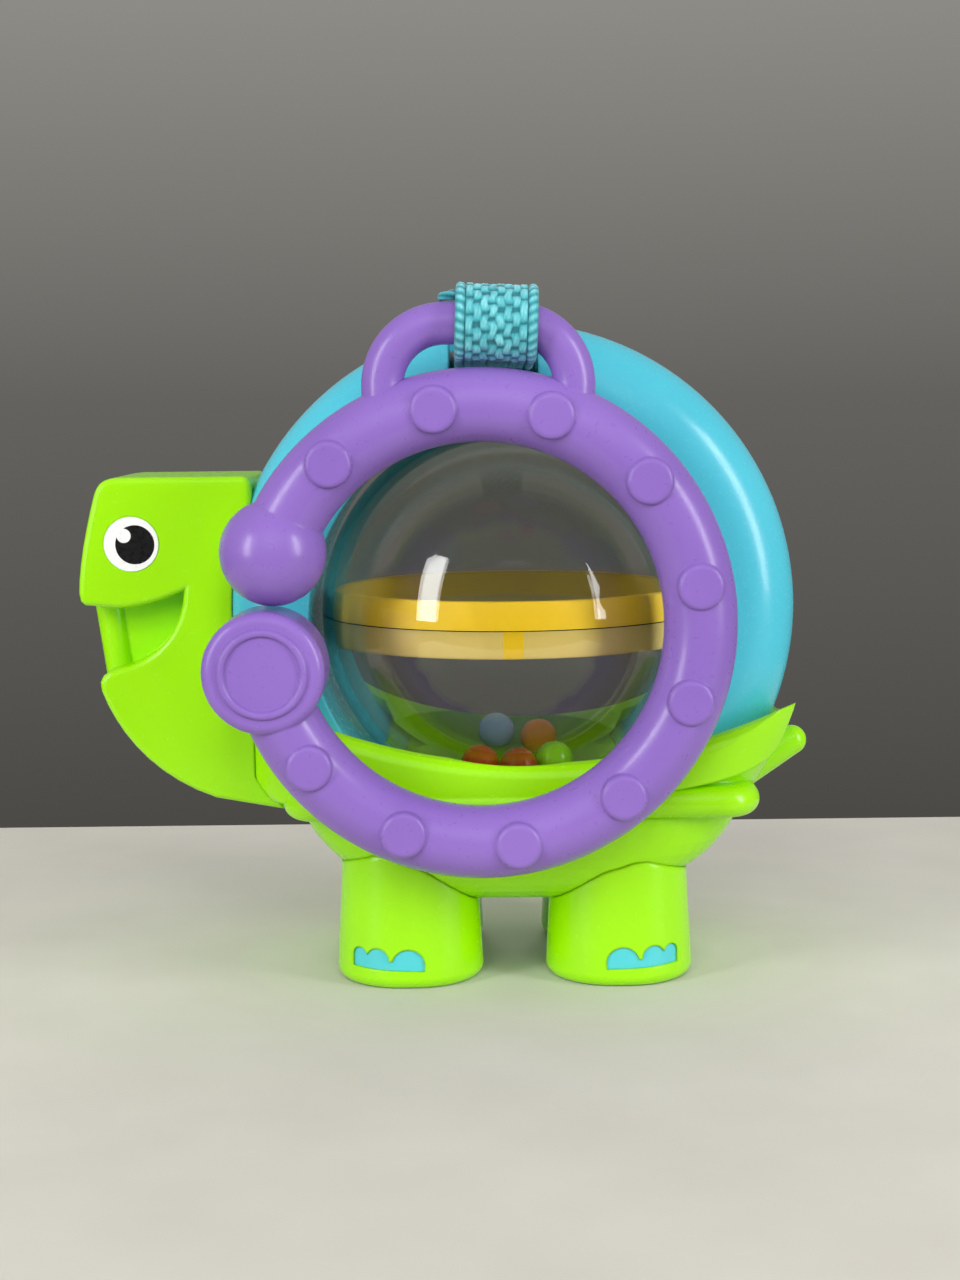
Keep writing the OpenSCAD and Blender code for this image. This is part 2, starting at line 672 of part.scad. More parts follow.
// Head: an outline of curves seen from the side, in two halves that meet on the middle plane
brow = [-64.8, head_top_z - 2.6];
nape_top = [-41.5, head_top_z];
head_upper = concat(
    [nape_top],
    curve_points([[-60.7, head_top_z], [-63.4, head_top_z], [-64.2, head_top_z - 0.9], brow], 5),
    curve_points([brow, [-66.2, 71.9], [-nose_reach, 65.3], [-nose_reach, 61.5]], 6),
    curve_points([[-nose_reach, 61.5], [-nose_reach, 59.9], [-67, 59.5], [-65.4, 59.4]], 3),
    curve_points([[-61.2, 59.1], [-57.5, 59.3], [-54, 60.5], [-51.2, 61.8]], 6));
head_lower = concat(
    curve_points([[-51.2, 61.8], [-51.5, 55.5], [-55.6, 50.9], [-61.6, 49.6]], 8),
    curve_points([[-61.6, 49.6], [-64, 49.2], [-65.2, 48.2], [-64.6, 46.1]], 4),
    curve_points([[-64.6, 46.1], [-61.9, 38.5], [-55.4, 30.6], [-43.5, 27.8]], 10),
    [[-36.4, 26.9], [-36.4, 32.9]]);
head_back = concat(
    [[-40, 60.9], [-40.2, head_top_z - 3.9]],
    curve_points([[-40.2, head_top_z - 2.9], [-40.2, head_top_z - 0.9], [-40.6, head_top_z], nape_top], 3));
head_outline = concat(head_upper, head_lower, head_back);
mouth_web = [[-64.2, 60.5], [-62.5, 48.1], [-50, 48.1], [-50, 62.5]];
// Top and foot of the post along the web's front edge
post_line = [[-64.2, 60.9], [-62.5, 48.1]];
post_sunk = 1;
// The side of the head is a stack of rings that follow the outline and close in round the edge
head_n = len(head_outline);
head_steps = 5;
// The rings run this far past the head's flat face, which is then cut from them
crown = 0.02;
function unit(v) = v / norm(v);
function inward(i) = let (
        p = head_outline[i],
        a = unit(p - head_outline[(i + head_n - 1) % head_n]),
        b = unit(head_outline[(i + 1) % head_n] - p),
        n = unit([-a[1] - b[1], a[0] + b[0]]))
    n / max(0.5, n * [-b[1], b[0]]);
function head_ring(inset, y) =
    [for (i = [0:head_n - 1]) let (p = head_outline[i] + inset * inward(i)) [p[0], y, p[1]]];
// Both faces are fans round two hubs, one above the mouth's corner and one below it
mouth_corner = len(head_upper);
nape = mouth_corner + len(head_lower);
hubs = [[-52, 68], [-47, 40]];
loops = [[for (i = [nape:mouth_corner + head_n]) i % head_n], [for (i = [mouth_corner:nape]) i]];
function fan(hub, loop, first) =
    [for (i = [0:len(loop) - 1]) [hub, first + loop[i], first + loop[(i + 1) % len(loop)]]];
function flipped(faces) = [for (f = faces) [f[0], f[2], f[1]]];
module head_form() {
    n = head_n;
    rings = head_steps + 1;
    last = (rings + 1) * n;
    points = concat(
        head_ring(0, -1),
        [for (k = [0:head_steps]) let (q = 90 * k / head_steps)
            each head_ring(head_round * (1 - cos(q)), head_half + crown - head_round * (1 - sin(q)))],
        [for (y = [-1, head_half + 1], h = hubs) [h[0], y, h[1]]]);
    sides = [for (k = [0:rings - 1], i = [0:n - 1]) let (j = (i + 1) % n)
        each [[k * n + i, k * n + j, (k + 1) * n + i], [k * n + j, (k + 1) * n + j, (k + 1) * n + i]]];
    middle = [for (h = [0, 1]) each flipped(fan(last + h, loops[h], 0))];
    face = [for (h = [0, 1]) each fan(last + 2 + h, loops[h], rings * n)];
    difference() {
        polyhedron(points, concat(sides, middle, face));
        half_space(-1);
        translate([0, head_half, 0]) half_space(1);
    }
    translate([0, web_half, 0]) rotate([90, 0, 0]) linear_extrude(web_half) polygon(mouth_web);
    run = post_line[0] - post_line[1];
    translate([post_line[1][0], web_half - post_sunk, post_line[1][1]]) rotate([0, atan2(run[0], run[1]), 0])
        cylinder(h = norm(run), r = post_r);
}
module eye_disc(at, d, side) {
    inner = side * (head_half - eye_t);
    outer = side * (head_half + eye_proud);
    along_y(at[0], at[1], min(inner, outer), max(inner, outer), d / 2);
}
module head_half_piece(side) {
    difference() {
        mirror([0, side > 0 ? 0 : 1, 0]) head_form();
        arch_space(seat_gap);
        leaf_space(seat_gap);
        rolled_rim(seat_gap);
        translate([tongue_at[0], -tongue[1] / 2, tongue_at[2] - tongue[2] / 2] - seat_gap * [1, 1, 1])
            cube([tongue[0] + 5, tongue[1] + 2 * seat_gap, tongue[2] + 2 * seat_gap]);
        for (at = head_screws_at) rear_screw_place(at) screw_room();
        eye_disc(eye_at, eye_d, side);
    }
}
module eye_white(side) {
    difference() {
        eye_disc(eye_at, eye_d, side);
        eye_disc(pupil_at, pupil_d, side);
    }
}
module eye_pupil(side) {
    difference() {
        eye_disc(pupil_at, pupil_d, side);
        eye_disc(glint_at, glint_d, side);
    }
}
module eye_glint(side) {
    intersection() {
        eye_disc(pupil_at, pupil_d, side);
        eye_disc(glint_at, glint_d, side);
    }
}
module head_front_half() { color(green) placed() head_half_piece(-1); }
module head_rear_half() { color(green) placed() head_half_piece(1); }
module head_screws() { color(steel) placed() for (at = head_screws_at) rear_screw_place(at) screw(); }
module eye_white_front() { color("white") placed() eye_white(-1); }
module eye_white_rear() { color("white") placed() eye_white(1); }
module eye_pupil_front() { color("#101010") placed() eye_pupil(-1); }
module eye_pupil_rear() { color("#101010") placed() eye_pupil(1); }
module eye_glint_front() { color("white") placed() eye_glint(-1); }
module eye_glint_rear() { color("white") placed() eye_glint(1); }

cradle();
belly_bowl();
belly_screws();
head_front_half();
head_rear_half();
head_screws();
eye_white_front();
eye_white_rear();
eye_pupil_front();
eye_pupil_rear();
eye_glint_front();
eye_glint_rear();
leg_front_left();
leg_front_right();
leg_rear_left();
leg_rear_right();
toenails_front_left();
toenails_front_right();
toenails_rear_left();
toenails_rear_right();
leg_screws();
shell_front_half();
shell_rear_half();
shell_screws();
strap_pin();
upper_bush();
lower_bush();
upper_dome();
lower_dome();
equator_band();
upper_pivot();
lower_pivot();
bead_red();
bead_dark_red();
bead_orange();
bead_green();
bead_blue();
strap_webbing();
link_ring();
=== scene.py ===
import json
import math

import bpy
from mathutils import Euler, Matrix, Vector


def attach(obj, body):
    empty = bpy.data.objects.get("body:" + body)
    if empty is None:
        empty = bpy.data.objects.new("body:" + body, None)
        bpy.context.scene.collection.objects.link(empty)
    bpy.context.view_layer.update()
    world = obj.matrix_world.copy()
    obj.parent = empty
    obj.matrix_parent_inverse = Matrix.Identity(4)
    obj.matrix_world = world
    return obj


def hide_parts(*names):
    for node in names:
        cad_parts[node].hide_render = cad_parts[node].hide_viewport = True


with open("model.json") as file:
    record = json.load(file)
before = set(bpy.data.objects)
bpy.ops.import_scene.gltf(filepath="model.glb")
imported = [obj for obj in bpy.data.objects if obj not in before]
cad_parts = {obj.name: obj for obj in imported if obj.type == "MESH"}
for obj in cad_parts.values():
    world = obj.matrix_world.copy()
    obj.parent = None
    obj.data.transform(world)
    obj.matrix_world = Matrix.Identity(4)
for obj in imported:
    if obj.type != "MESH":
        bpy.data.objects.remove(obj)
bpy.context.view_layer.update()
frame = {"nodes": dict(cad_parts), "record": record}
scene = bpy.context.scene
scene.view_settings.view_transform = "Standard"

MM = 0.001
# Where the ball's axis and its seam are in the frame, in millimetres
AXIS_X, AXIS_Y, SEAM_Z = 9.65, 3.475, 56.8
# Half the width of the key on the ball's inner band, in millimetres
KEY_HALF = 1.5
# The middle part of a noise's values, over which colour and gloss change
NOISE_RANGE = (0.3, 0.7)
# Sockets of a mix node that mixes colours
MIX_FIRST, MIX_SECOND, MIX_RESULT = 6, 7, 2
# Radius in metres to which edges look softened, and the samples that find it
SOFT_EDGE, FINE_EDGE, EDGE_SAMPLES = 0.0006, 0.0003, 4


def place(x, y, z):
    """A point in millimetres from the ball's axis and the table, as metres in the frame."""
    return Vector(((x + AXIS_X) * MM, (y + AXIS_Y) * MM, z * MM))


# Node helpers
def srgb(code):
    """A colour written as six hex digits, as linear values."""
    values = [int(code[i:i + 2], 16) / 255 for i in (0, 2, 4)]
    return [v / 12.92 if v <= 0.04045 else ((v + 0.055) / 1.055) ** 2.4
            for v in values] + [1.0]


def new_material(name):
    """A material, its node tree and its shader."""
    mat = bpy.data.materials.new(name)
    mat.use_nodes = True
    tree = mat.node_tree
    return mat, tree, tree.nodes["Principled BSDF"]


def feed(tree, node, inputs):
    """Links each input, given by name or number, to an output, or sets it to a value."""
    for key, value in inputs.items():
        if isinstance(value, bpy.types.NodeSocket):
            tree.links.new(value, node.inputs[key])
        else:
            node.inputs[key].default_value = value


def add_node(tree, kind, inputs):
    """A new node with its inputs linked or set."""
    node = tree.nodes.new("ShaderNode" + kind)
    feed(tree, node, inputs)
    return node


def add_noise(tree, scale, detail, rough=0.5, squeeze=None):
    """Noise over the object's own coordinates, squeezed along its axes if asked."""
    vector = tree.nodes.new("ShaderNodeTexCoord").outputs["Object"]
    if squeeze:
        mapping = add_node(tree, "Mapping", {"Vector": vector, "Scale": squeeze})
        vector = mapping.outputs["Vector"]
    noise = add_node(tree, "TexNoise", {
        "Vector": vector, "Scale": scale, "Detail": detail, "Roughness": rough})
    return noise.outputs["Fac"]


def ramp(tree, source, stops):
    """A value turned into colours, given as two or more places and the colour at each."""
    node = add_node(tree, "ValToRGB", {"Fac": source})
    elements = node.color_ramp.elements
    for i, (at, colour) in enumerate(stops):
        element = elements[i] if i < 2 else elements.new(at)
        element.position = at
        element.color = colour
    return node.outputs["Color"]


def map_range(tree, source, to_range, from_range=NOISE_RANGE):
    """A value moved from one range to another."""
    node = add_node(tree, "MapRange", {
        "Value": source, "From Min": from_range[0], "From Max": from_range[1],
        "To Min": to_range[0], "To Max": to_range[1]})
    return node.outputs["Result"]


def math_node(tree, operation, first, second):
    """One step of arithmetic on outputs or numbers."""
    node = add_node(tree, "Math", {0: first, 1: second})
    node.operation = operation
    return node.outputs["Value"]


def mix_colours(tree, factor, first, second, blend="MIX"):
    """Two colours mixed by a factor."""
    node = tree.nodes.new("ShaderNodeMix")
    node.data_type = "RGBA"
    node.blend_type = blend
    feed(tree, node, {"Factor": factor, MIX_FIRST: first, MIX_SECOND: second})
    return node.outputs[MIX_RESULT]


def mix_shaders(tree, factor, first, second, output):
    """Two shaders mixed by a factor and put on the named output."""
    node = add_node(tree, "MixShader", {0: factor, 1: first, 2: second})
    feed(tree, tree.nodes[output], {"Surface": node.outputs["Shader"]})


def tint(tree, bsdf, noise, dark, light):
    """A colour for the shader that goes from dark to light with the noise."""
    colours = (srgb(dark), srgb(light))
    feed(tree, bsdf, {"Base Color": ramp(tree, noise, list(zip(NOISE_RANGE, colours)))})


def gloss(tree, bsdf, noise, rough):
    """A roughness for the shader that goes over a range with the noise."""
    feed(tree, bsdf, {"Roughness": map_range(tree, noise, rough)})


def bump(tree, bsdf, height, strength, depth, edge=None):
    """A bump for the shader, of a depth in metres, over edges that look softened."""
    node = add_node(tree, "Bump", {"Strength": strength, "Distance": depth, "Height": height})
    if edge:
        soft = add_node(tree, "Bevel", {"Radius": edge})
        soft.samples = EDGE_SAMPLES
        feed(tree, node, {"Normal": soft.outputs["Normal"]})
    feed(tree, bsdf, {"Normal": node.outputs["Normal"]})


# Materials
def moulded_plastic(name, dark, light, rough=(0.2, 0.3), edge=SOFT_EDGE):
    """Moulded plastic: faint clouds of colour, a gloss that varies a little and flow ripple."""
    mat, tree, bsdf = new_material(name)
    tint(tree, bsdf, add_noise(tree, scale=35.0, detail=2.0), dark, light)
    gloss(tree, bsdf, add_noise(tree, scale=900.0, detail=4.0, rough=0.6), rough)
    ripple = add_noise(tree, scale=160.0, detail=2.0)
    bump(tree, bsdf, ripple, strength=0.04, depth=0.0004, edge=edge)
    feed(tree, bsdf, {"IOR": 1.5, "Specular IOR Level": 0.4,
                      "Coat Weight": 0.1, "Coat Roughness": 0.1})
    return mat


def clear_plastic(name):
    """Clear styrene: lamps shine through it, so that what is inside is lit."""
    mat, tree, bsdf = new_material(name)
    feed(tree, bsdf, {"Base Color": (0.78, 0.79, 0.765, 1.0),
                      "Transmission Weight": 1.0, "IOR": 1.45})
    gloss(tree, bsdf, add_noise(tree, scale=120.0, detail=3.0), (0.0, 0.03))
    ripple = add_noise(tree, scale=60.0, detail=1.0)
    bump(tree, bsdf, ripple, strength=0.02, depth=0.0004)
    shadow = tree.nodes.new("ShaderNodeLightPath").outputs["Is Shadow Ray"]
    clear = add_node(tree, "BsdfTransparent", {"Color": (0.88, 0.9, 0.88, 1.0)})
    mix_shaders(tree, shadow, bsdf.outputs["BSDF"], clear.outputs["BSDF"], "Material Output")
    return mat


def printed(name, dark, light):
    """A printed or inlaid colour with fine grain."""
    mat, tree, bsdf = new_material(name)
    grain = add_noise(tree, scale=1500.0, detail=2.0)
    tint(tree, bsdf, grain, dark, light)
    gloss(tree, bsdf, grain, (0.25, 0.35))
    return mat


def turned_steel(name):
    """Steel with fine grain."""
    mat, tree, bsdf = new_material(name)
    grain = add_noise(tree, scale=1200.0, detail=5.0)
    tint(tree, bsdf, grain, "8C9094", "C4C8CC")
    gloss(tree, bsdf, grain, (0.25, 0.45))
    feed(tree, bsdf, {"Metallic": 1.0})
    return mat


def woven(name):
    """Yarn of the webbing: a painted highlight on the floats and painted shade in the gaps,
    with fibre along each yarn.
    """
    mat, tree, bsdf = new_material(name)
    rise = tree.nodes.new("ShaderNodeAttribute")
    rise.attribute_name = "painted_yarn_shade"
    # Painted shade and highlight: dark teal where the yarn sinks into the gaps, pale teal on
    # the tops of the floats
    body = ramp(tree, rise.outputs["Fac"], [
        (0.1, srgb("187A84")), (0.5, srgb("45B4BE")), (1.0, srgb("86DEE4"))])
    fibre = add_noise(tree, scale=1500.0, detail=4.0, rough=0.65, squeeze=(3.0, 0.7, 0.7))
    shades = ((0.55, 0.62, 0.64, 1.0), (1.0, 1.0, 1.0, 1.0))
    shade = ramp(tree, fibre, list(zip(NOISE_RANGE, shades)))
    feed(tree, bsdf, {"Base Color": mix_colours(tree, 1.0, body, shade, "MULTIPLY"),
                      "Sheen Weight": 0.3})
    gloss(tree, bsdf, fibre, (0.55, 0.8))
    bump(tree, bsdf, fibre, strength=0.35, depth=0.0002)
    return mat


def band_plastic(name):
    """Yellow plastic, with a painted paler yellow below the ball's seam that stands in for
    the haze seen through the lower dome's lip, but not on the key in front."""
    mat = moulded_plastic(name, "F4C40C", "FACE18", (0.5, 0.6))
    tree = mat.node_tree
    bsdf = tree.nodes["Principled BSDF"]
    own = bsdf.inputs["Base Color"].links[0].from_socket
    coords = tree.nodes.new("ShaderNodeTexCoord").outputs["Object"]
    at = add_node(tree, "SeparateXYZ", {"Vector": coords}).outputs
    # Painted haze: the band is painted paler yellow below the seam, where it is seen through
    # the lower dome's lip, except on the key in front
    below = math_node(tree, "LESS_THAN", at["Z"], SEAM_Z * MM)
    offset = math_node(tree, "SUBTRACT", at["X"], AXIS_X * MM)
    aside = math_node(tree, "ABSOLUTE", offset, 0.0)
    beside_key = math_node(tree, "GREATER_THAN", aside, KEY_HALF * MM)
    behind = math_node(tree, "GREATER_THAN", at["Y"], AXIS_Y * MM)
    off_key = math_node(tree, "MAXIMUM", beside_key, behind)
    pale = math_node(tree, "MULTIPLY", below, off_key)
    feed(tree, bsdf, {"Base Color": mix_colours(tree, pale, own, srgb("E2C36C")),
                      "Coat Weight": 0.0})
    return mat


# Dark and light colour of each moulded plastic, its range of roughness and its edges
MOULDED = {
    "green_plastic": ("94DE00", "9CE600", (0.2, 0.28)),
    "teal_plastic": ("48B8CC", "50C0D4", (0.2, 0.3)),
    "purple_plastic": ("8160B2", "8968BA", (0.26, 0.36)),
    "nail_teal": ("49C0C8", "52C8D0", (0.15, 0.25), FINE_EDGE),
    "bush_plastic": ("C8C8C6", "D4D4D2", (0.4, 0.5), FINE_EDGE),
    "bead_red": ("CC1410", "D81C16"),
    "bead_dark_red": ("A01E10", "AE2816"),
    "bead_orange": ("F2A408", "F8B012"),
    "bead_green": ("7CC018", "8CCC24"),
    "bead_blue": ("9CC4D8", "B0D2E2"),
}
looks = {slot: moulded_plastic(slot, *look) for slot, look in MOULDED.items()}
looks["pivot_plastic"] = looks["bush_plastic"]
looks["yellow_plastic"] = band_plastic("yellow_plastic")
looks["clear_plastic"] = clear_plastic("clear_plastic")
looks["eye_white"] = printed("eye_white", "EDEDE8", "F6F6F2")
looks["eye_black"] = printed("eye_black", "0C0C0E", "141416")
looks["screw_steel"] = turned_steel("screw_steel")
looks["webbing"] = woven("webbing")
for entry in frame["record"]["subparts"]:
    # The CAD's plain webbing is hidden below, by the woven strap
    if entry["material_slot"] != "webbing":
        cad_mesh = frame["nodes"][entry["node"]].data
        cad_mesh.materials.clear()
        cad_mesh.materials.append(looks[entry["material_slot"]])

# Strap: webbing round the bar in the arch and the loop of the link ring, in millimetres
PIN, LOOP = (0.0, 97.3), (-29.55, 102.0)
STRAP_X, STRAP_W, STRAP_T = -2.5, 12.0, 1.2
# Radii of the strap's middle line round the bar and round the ring's loop
PIN_R, LOOP_R = 1.7 + STRAP_T / 2, 4.4 + STRAP_T / 2
# Steps round each of these, and the length of a step of the finished path
ARC_STEPS, PATH_STEP = 120, 0.17
# Width of a selvedge, and half the width between the two
SELVEDGE = 1.5
RIBS_HALF = STRAP_W / 2 - SELVEDGE
# Ribs of warp, points across each, points over a selvedge, and length of a stitch
RIBS, RIB_POINTS, SELVEDGE_POINTS, STITCH = 8, 9, 10, 2.7
# How far the yarn slants along the strap, for each millimetre across it
SLANT = 0.1
# At the ring's loop the strap's left edge is higher, for each millimetre across,
# it lies aside, and it leans, for each millimetre of height
TILT, ASIDE, LEAN = 0.04, 0.4, 0.04
# Selvedge: least height, what its winding adds and the height of its seam
EDGE_HEIGHT, EDGE_WIND, EDGE_SEAM = 0.56, 0.16, 0.26
# Selvedge: twist of its winding, shift of the right one, and the rise between the windings,
# which sets the painted shade in the grooves there
EDGE_TWIST, EDGE_SHIFT, EDGE_GROOVE_SHADE = 0.45, 0.3, 0.25
# Ribs: height in the gaps, what a float adds, and how much lower a rib's sides are
GAP_HEIGHT, FLOAT_HEIGHT, SIDE_FALL = 0.3, 0.34, 0.55
# Ribs: how far one wanders, in ribs, and how this changes across the strap
WANDER, WANDER_ACROSS = 0.16, 0.6
# Waves that move a rib's floats along: size, change for each rib, and along the strap
LATE_WAVES = ((0.09, 2.1, 0.37), (0.07, 5.3, 0.21))
# What makes each float, each rib and each side of the strap unlike the next
ODD_FLOAT, ODD_RIB, ODD_SIDE = 12.9, 78.2, 3.1
# Floats: usual length in stitches, its change, and how round the ends are
FLOAT_LENGTH, LENGTH_CHANGE, FLOAT_ENDS = 0.86, 0.1, 0.45
# Floats: usual fullness, its change, and how fast that changes
FULLNESS, FULLNESS_CHANGE, FULLNESS_RATE = 0.88, 0.12, 5
# Strands of a float: number across it, turns along it, and depth
STRANDS, STRAND_TURNS, STRAND_DEPTH = 2, 1.5, 0.1
# Loose yarn end: how far it starts within the strap's edge and top, and behind the loop
END_INSET, END_BEHIND = 0.9, 0.6
# Loose yarn end: radius, reach, droop, taper and least share of the radius, squared
END_R, END_REACH, END_DROOP, END_TAPER, END_LEAST = 0.8, 3.0, 0.4, 0.25, 0.02
# Loose yarn end: strands, their twist and depth, and the rise that paints their shade and
# highlight, and its change
END_STRANDS, END_TWIST, END_DEPTH, END_PAINTED_RISE, END_CHANGE = 4, 5, 0.14, 0.35, 0.3
# Loose yarn end: points along it and points round it
END_RINGS, END_POINTS = 14, 24


def belt_path():
    """The strap's middle line, as even steps in the plane across the toy, and its length."""
    dy, dz = LOOP[0] - PIN[0], LOOP[1] - PIN[1]
    run = math.hypot(dy, dz)
    along = (dy / run, dz / run)
    up = (along[1], -along[0])
    quarter = math.pi / 2 - math.asin((PIN_R - LOOP_R) / run)

    def arc(centre, r, start, turn):
        for i in range(ARC_STEPS + 1):
            angle = start - turn * i / ARC_STEPS
            c, s = math.cos(angle), math.sin(angle)
            yield (centre[0] + r * (along[0] * c + up[0] * s),
                   centre[1] + r * (along[1] * c + up[1] * s))

    fine = list(arc(LOOP, LOOP_R, quarter, 2 * quarter))
    fine += arc(PIN, PIN_R, -quarter, 2 * math.pi - 2 * quarter)
    fine.append(fine[0])
    lengths = [0.0]
    for a, b in zip(fine, fine[1:]):
        lengths.append(lengths[-1] + math.hypot(b[0] - a[0], b[1] - a[1]))
    total = lengths[-1]
    count = round(total / PATH_STEP)
    points, k = [], 0
    for i in range(count):
        want = total * i / count
        while lengths[k + 1] < want:
            k += 1
        t = (want - lengths[k]) / (lengths[k + 1] - lengths[k])
        a, b = fine[k], fine[k + 1]
        points.append((a[0] + t * (b[0] - a[0]), a[1] + t * (b[1] - a[1])))
    return points, total


def strap_columns():
    """Places across the strap: even steps over the ribs, closing in round each selvedge."""
    count = RIBS * RIB_POINTS
    middle = [-RIBS_HALF + 2 * RIBS_HALF * i / count for i in range(count + 1)]
    edge = [RIBS_HALF + SELVEDGE * (1 - math.cos(math.pi * i / SELVEDGE_POINTS)) / 2
            for i in range(1, SELVEDGE_POINTS + 1)]
    return [-x for x in reversed(edge)] + middle + edge


def selvedge_yarn(x, s, stitch):
    """Height of the round, wound edge over the strap's middle layer, and its rise, which paints
    shade between the windings.
    """
    t = (abs(x) - RIBS_HALF) / SELVEDGE
    wound = s / (stitch / 2) + EDGE_TWIST * t + (EDGE_SHIFT if x > 0 else 0.0)
    lay = 0.5 + 0.5 * math.sin(2 * math.pi * wound)
    crown = math.sqrt(max(0.0, 1 - (2 * t - 1) ** 2))
    seam = EDGE_SEAM * (1 - t) ** 2
    height = max(seam, (EDGE_HEIGHT + EDGE_WIND * lay) * crown)
    return height, (EDGE_GROOVE_SHADE + (1 - EDGE_GROOVE_SHADE) * lay) * crown


def rib_yarn(x, s, stitch, side):
    """Height of the ribs, whose yarns float over the weft in turn, and their rise, which paints
    shade in the gaps and a highlight on the floats.
    """
    turn = 2 * math.pi * s / stitch
    middle = math.cos(math.pi * x / (2 * RIBS_HALF))
    wander = WANDER * math.sin(turn + WANDER_ACROSS * x) * middle
    across = (x + RIBS_HALF) / (2 * RIBS_HALF) * RIBS + wander
    rib = max(0, min(RIBS - 1, int(across)))
    t = min(1.0, max(0.0, across - rib))
    late = sum(size * math.sin(per_rib * rib + along_strap * turn)
               for size, per_rib, along_strap in LATE_WAVES)
    along = s / stitch + 0.5 * ((rib + side) % 2) + late
    float_number, phase = math.floor(along), along % 1.0
    # Each float is a little longer or shorter and fuller or flatter than the next
    odd = math.sin(ODD_FLOAT * float_number + ODD_RIB * rib + ODD_SIDE * side)
    fullness = FULLNESS + FULLNESS_CHANGE * math.cos(FULLNESS_RATE * odd)
    length = FLOAT_LENGTH + LENGTH_CHANGE * odd
    over = math.sin(math.pi * phase / length) ** FLOAT_ENDS if phase < length else 0.0
    strands = STRAND_DEPTH * math.sin(2 * math.pi * (STRANDS * t + STRAND_TURNS * phase))
    crown = 1 - SIDE_FALL * (2 * t - 1) ** 4
    rise = max(0.0, over * (crown + strands) * fullness)
    return GAP_HEIGHT + FLOAT_HEIGHT * rise, rise


def skin_faces(rows, row, closed):
    """Faces between rows of points that close on themselves; the last may join the first."""
    faces = []
    for i in range(rows if closed else rows - 1):
        low, high = i * row, (i + 1) % rows * row
        for j in range(row):
            k = (j + 1) % row
            faces.append((low + j, low + k, high + k, high + j))
    return faces


def yarn_piece(name, verts, faces, painted_shades):
    """A smooth piece of yarn that rides with the strap."""
    mesh = bpy.data.meshes.new(name)
    mesh.from_pydata(verts, [], faces)
    mesh.validate()
    painted_shade_data = mesh.attributes.new("painted_yarn_shade", "FLOAT", "POINT")
    painted_shade_data.data.foreach_set("value", painted_shades)
    for poly in mesh.polygons:
        poly.use_smooth = True
    mesh.materials.append(looks["webbing"])
    obj = bpy.data.objects.new(name, mesh)
    scene.collection.objects.link(obj)
    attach(obj, "strap")
    return obj


def make_loose_end():
    """A loose end of yarn at the strap's left edge: a bent, tapered stub of strands."""
    root_x = STRAP_X - STRAP_W / 2 + END_INSET
    root_y, root_z = LOOP[0] + END_BEHIND, LOOP[1] + LOOP_R - END_INSET
    verts, painted_shades = [], []
    for i in range(END_RINGS):
        t = i / (END_RINGS - 1)
        rounded = math.sqrt(max(END_LEAST, 1 - (2 * t - 1) ** 6))
        r = END_R * rounded * (1 - END_TAPER * t)
        for j in range(END_POINTS):
            q = 2 * math.pi * j / END_POINTS
            strand = math.cos(END_STRANDS * q + END_TWIST * t)
            wide = r * (1 + END_DEPTH * strand)
            verts.append(place(root_x - END_REACH * t, root_y + wide * math.cos(q),
                               root_z - END_DROOP * t * t + wide * math.sin(q)))
            # The rise of each strand paints shade between the strands and a highlight on each
            painted_shades.append(END_PAINTED_RISE + END_CHANGE * strand)
    faces = skin_faces(END_RINGS, END_POINTS, closed=False)
    faces.append(tuple(reversed(range(END_POINTS))))
    faces.append(tuple(range((END_RINGS - 1) * END_POINTS, END_RINGS * END_POINTS)))
    return yarn_piece("loose_yarn_end", verts, faces, painted_shades)


def make_strap():
    """Woven webbing as one closed skin with ribs on both sides and two round selvedges."""
    path, total = belt_path()
    stitch = total / round(total / STITCH)
    xs = strap_columns()
    n = len(path)
    # Once across the outer side, and back across the inner side without the two ends
    sides = ((0, 1, xs), (1, -1, xs[-2:0:-1]))
    verts, painted_shades = [], []
    for i, (y, z) in enumerate(path):
        py, pz = path[i - 1]
        ny, nz = path[(i + 1) % n]
        size = math.hypot(ny - py, nz - pz)
        out = ((nz - pz) / size, -(ny - py) / size)
        near_loop = min(1.0, (y / LOOP[0]) ** 2) if y < 0 else 0.0
        askew = near_loop * (ASIDE + LEAN * (z - LOOP[1]))
        for side, sign, order in sides:
            for x in order:
                s = total * i / n + SLANT * x
                if abs(x) >= RIBS_HALF:
                    height, rise = selvedge_yarn(x, s, stitch)
                else:
                    height, rise = rib_yarn(x, s, stitch, side)
                h = sign * height
                verts.append(place(STRAP_X + x + askew, y + out[0] * h,
                                   z + out[1] * h - near_loop * TILT * x))
                painted_shades.append(rise)
    faces = skin_faces(n, 2 * len(xs) - 2, closed=True)
    return yarn_piece("webbing_strap", verts, faces, painted_shades), total


strap, strap_length = make_strap()
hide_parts("strap_webbing")
make_loose_end()

# Floor, light and camera, in metres unless said
FLOOR_SIDE, FLOOR_NEAR, FLOOR_FAR = 0.2, -0.2, 0.105
# Range of a view's rise, from down to up, over which the wall behind gets lighter, its painted
# shade being darkest at the bottom
WALL_RISE = (-0.25, 0.25)
# Where the lamps look, and each lamp's azimuth and elevation in degrees, distance,
# width and height, power in watts, and whether its shape shows in the gloss and the ball
LIT_POINT = Vector((0.0, 0.0, 0.055))
LAMPS = {
    "key_right": (58, 16.5, 0.9, (0.2, 0.58), 4.2, True),
    "key_left": (-51, 16.5, 0.9, (0.2, 0.58), 4.2, True),
    "fill_front": (0, 32, 0.9, (0.6, 0.4), 3.4, False),
    "fill_top": (0, 80, 1.0, (0.7, 0.7), 0.6, False),
    "fill_rear": (180, 30, 0.9, (0.6, 0.4), 2.0, False),
}
# Place in millimetres, and degrees downwards and of roll, fitted to the photograph
CAMERA_AT, CAMERA_DOWN, CAMERA_ROLL = (-4.98, -323.65, 91.0), 6.87, -0.66
SENSOR_HEIGHT, LENS, CLIP_START = 36.0, 56.25, 0.01


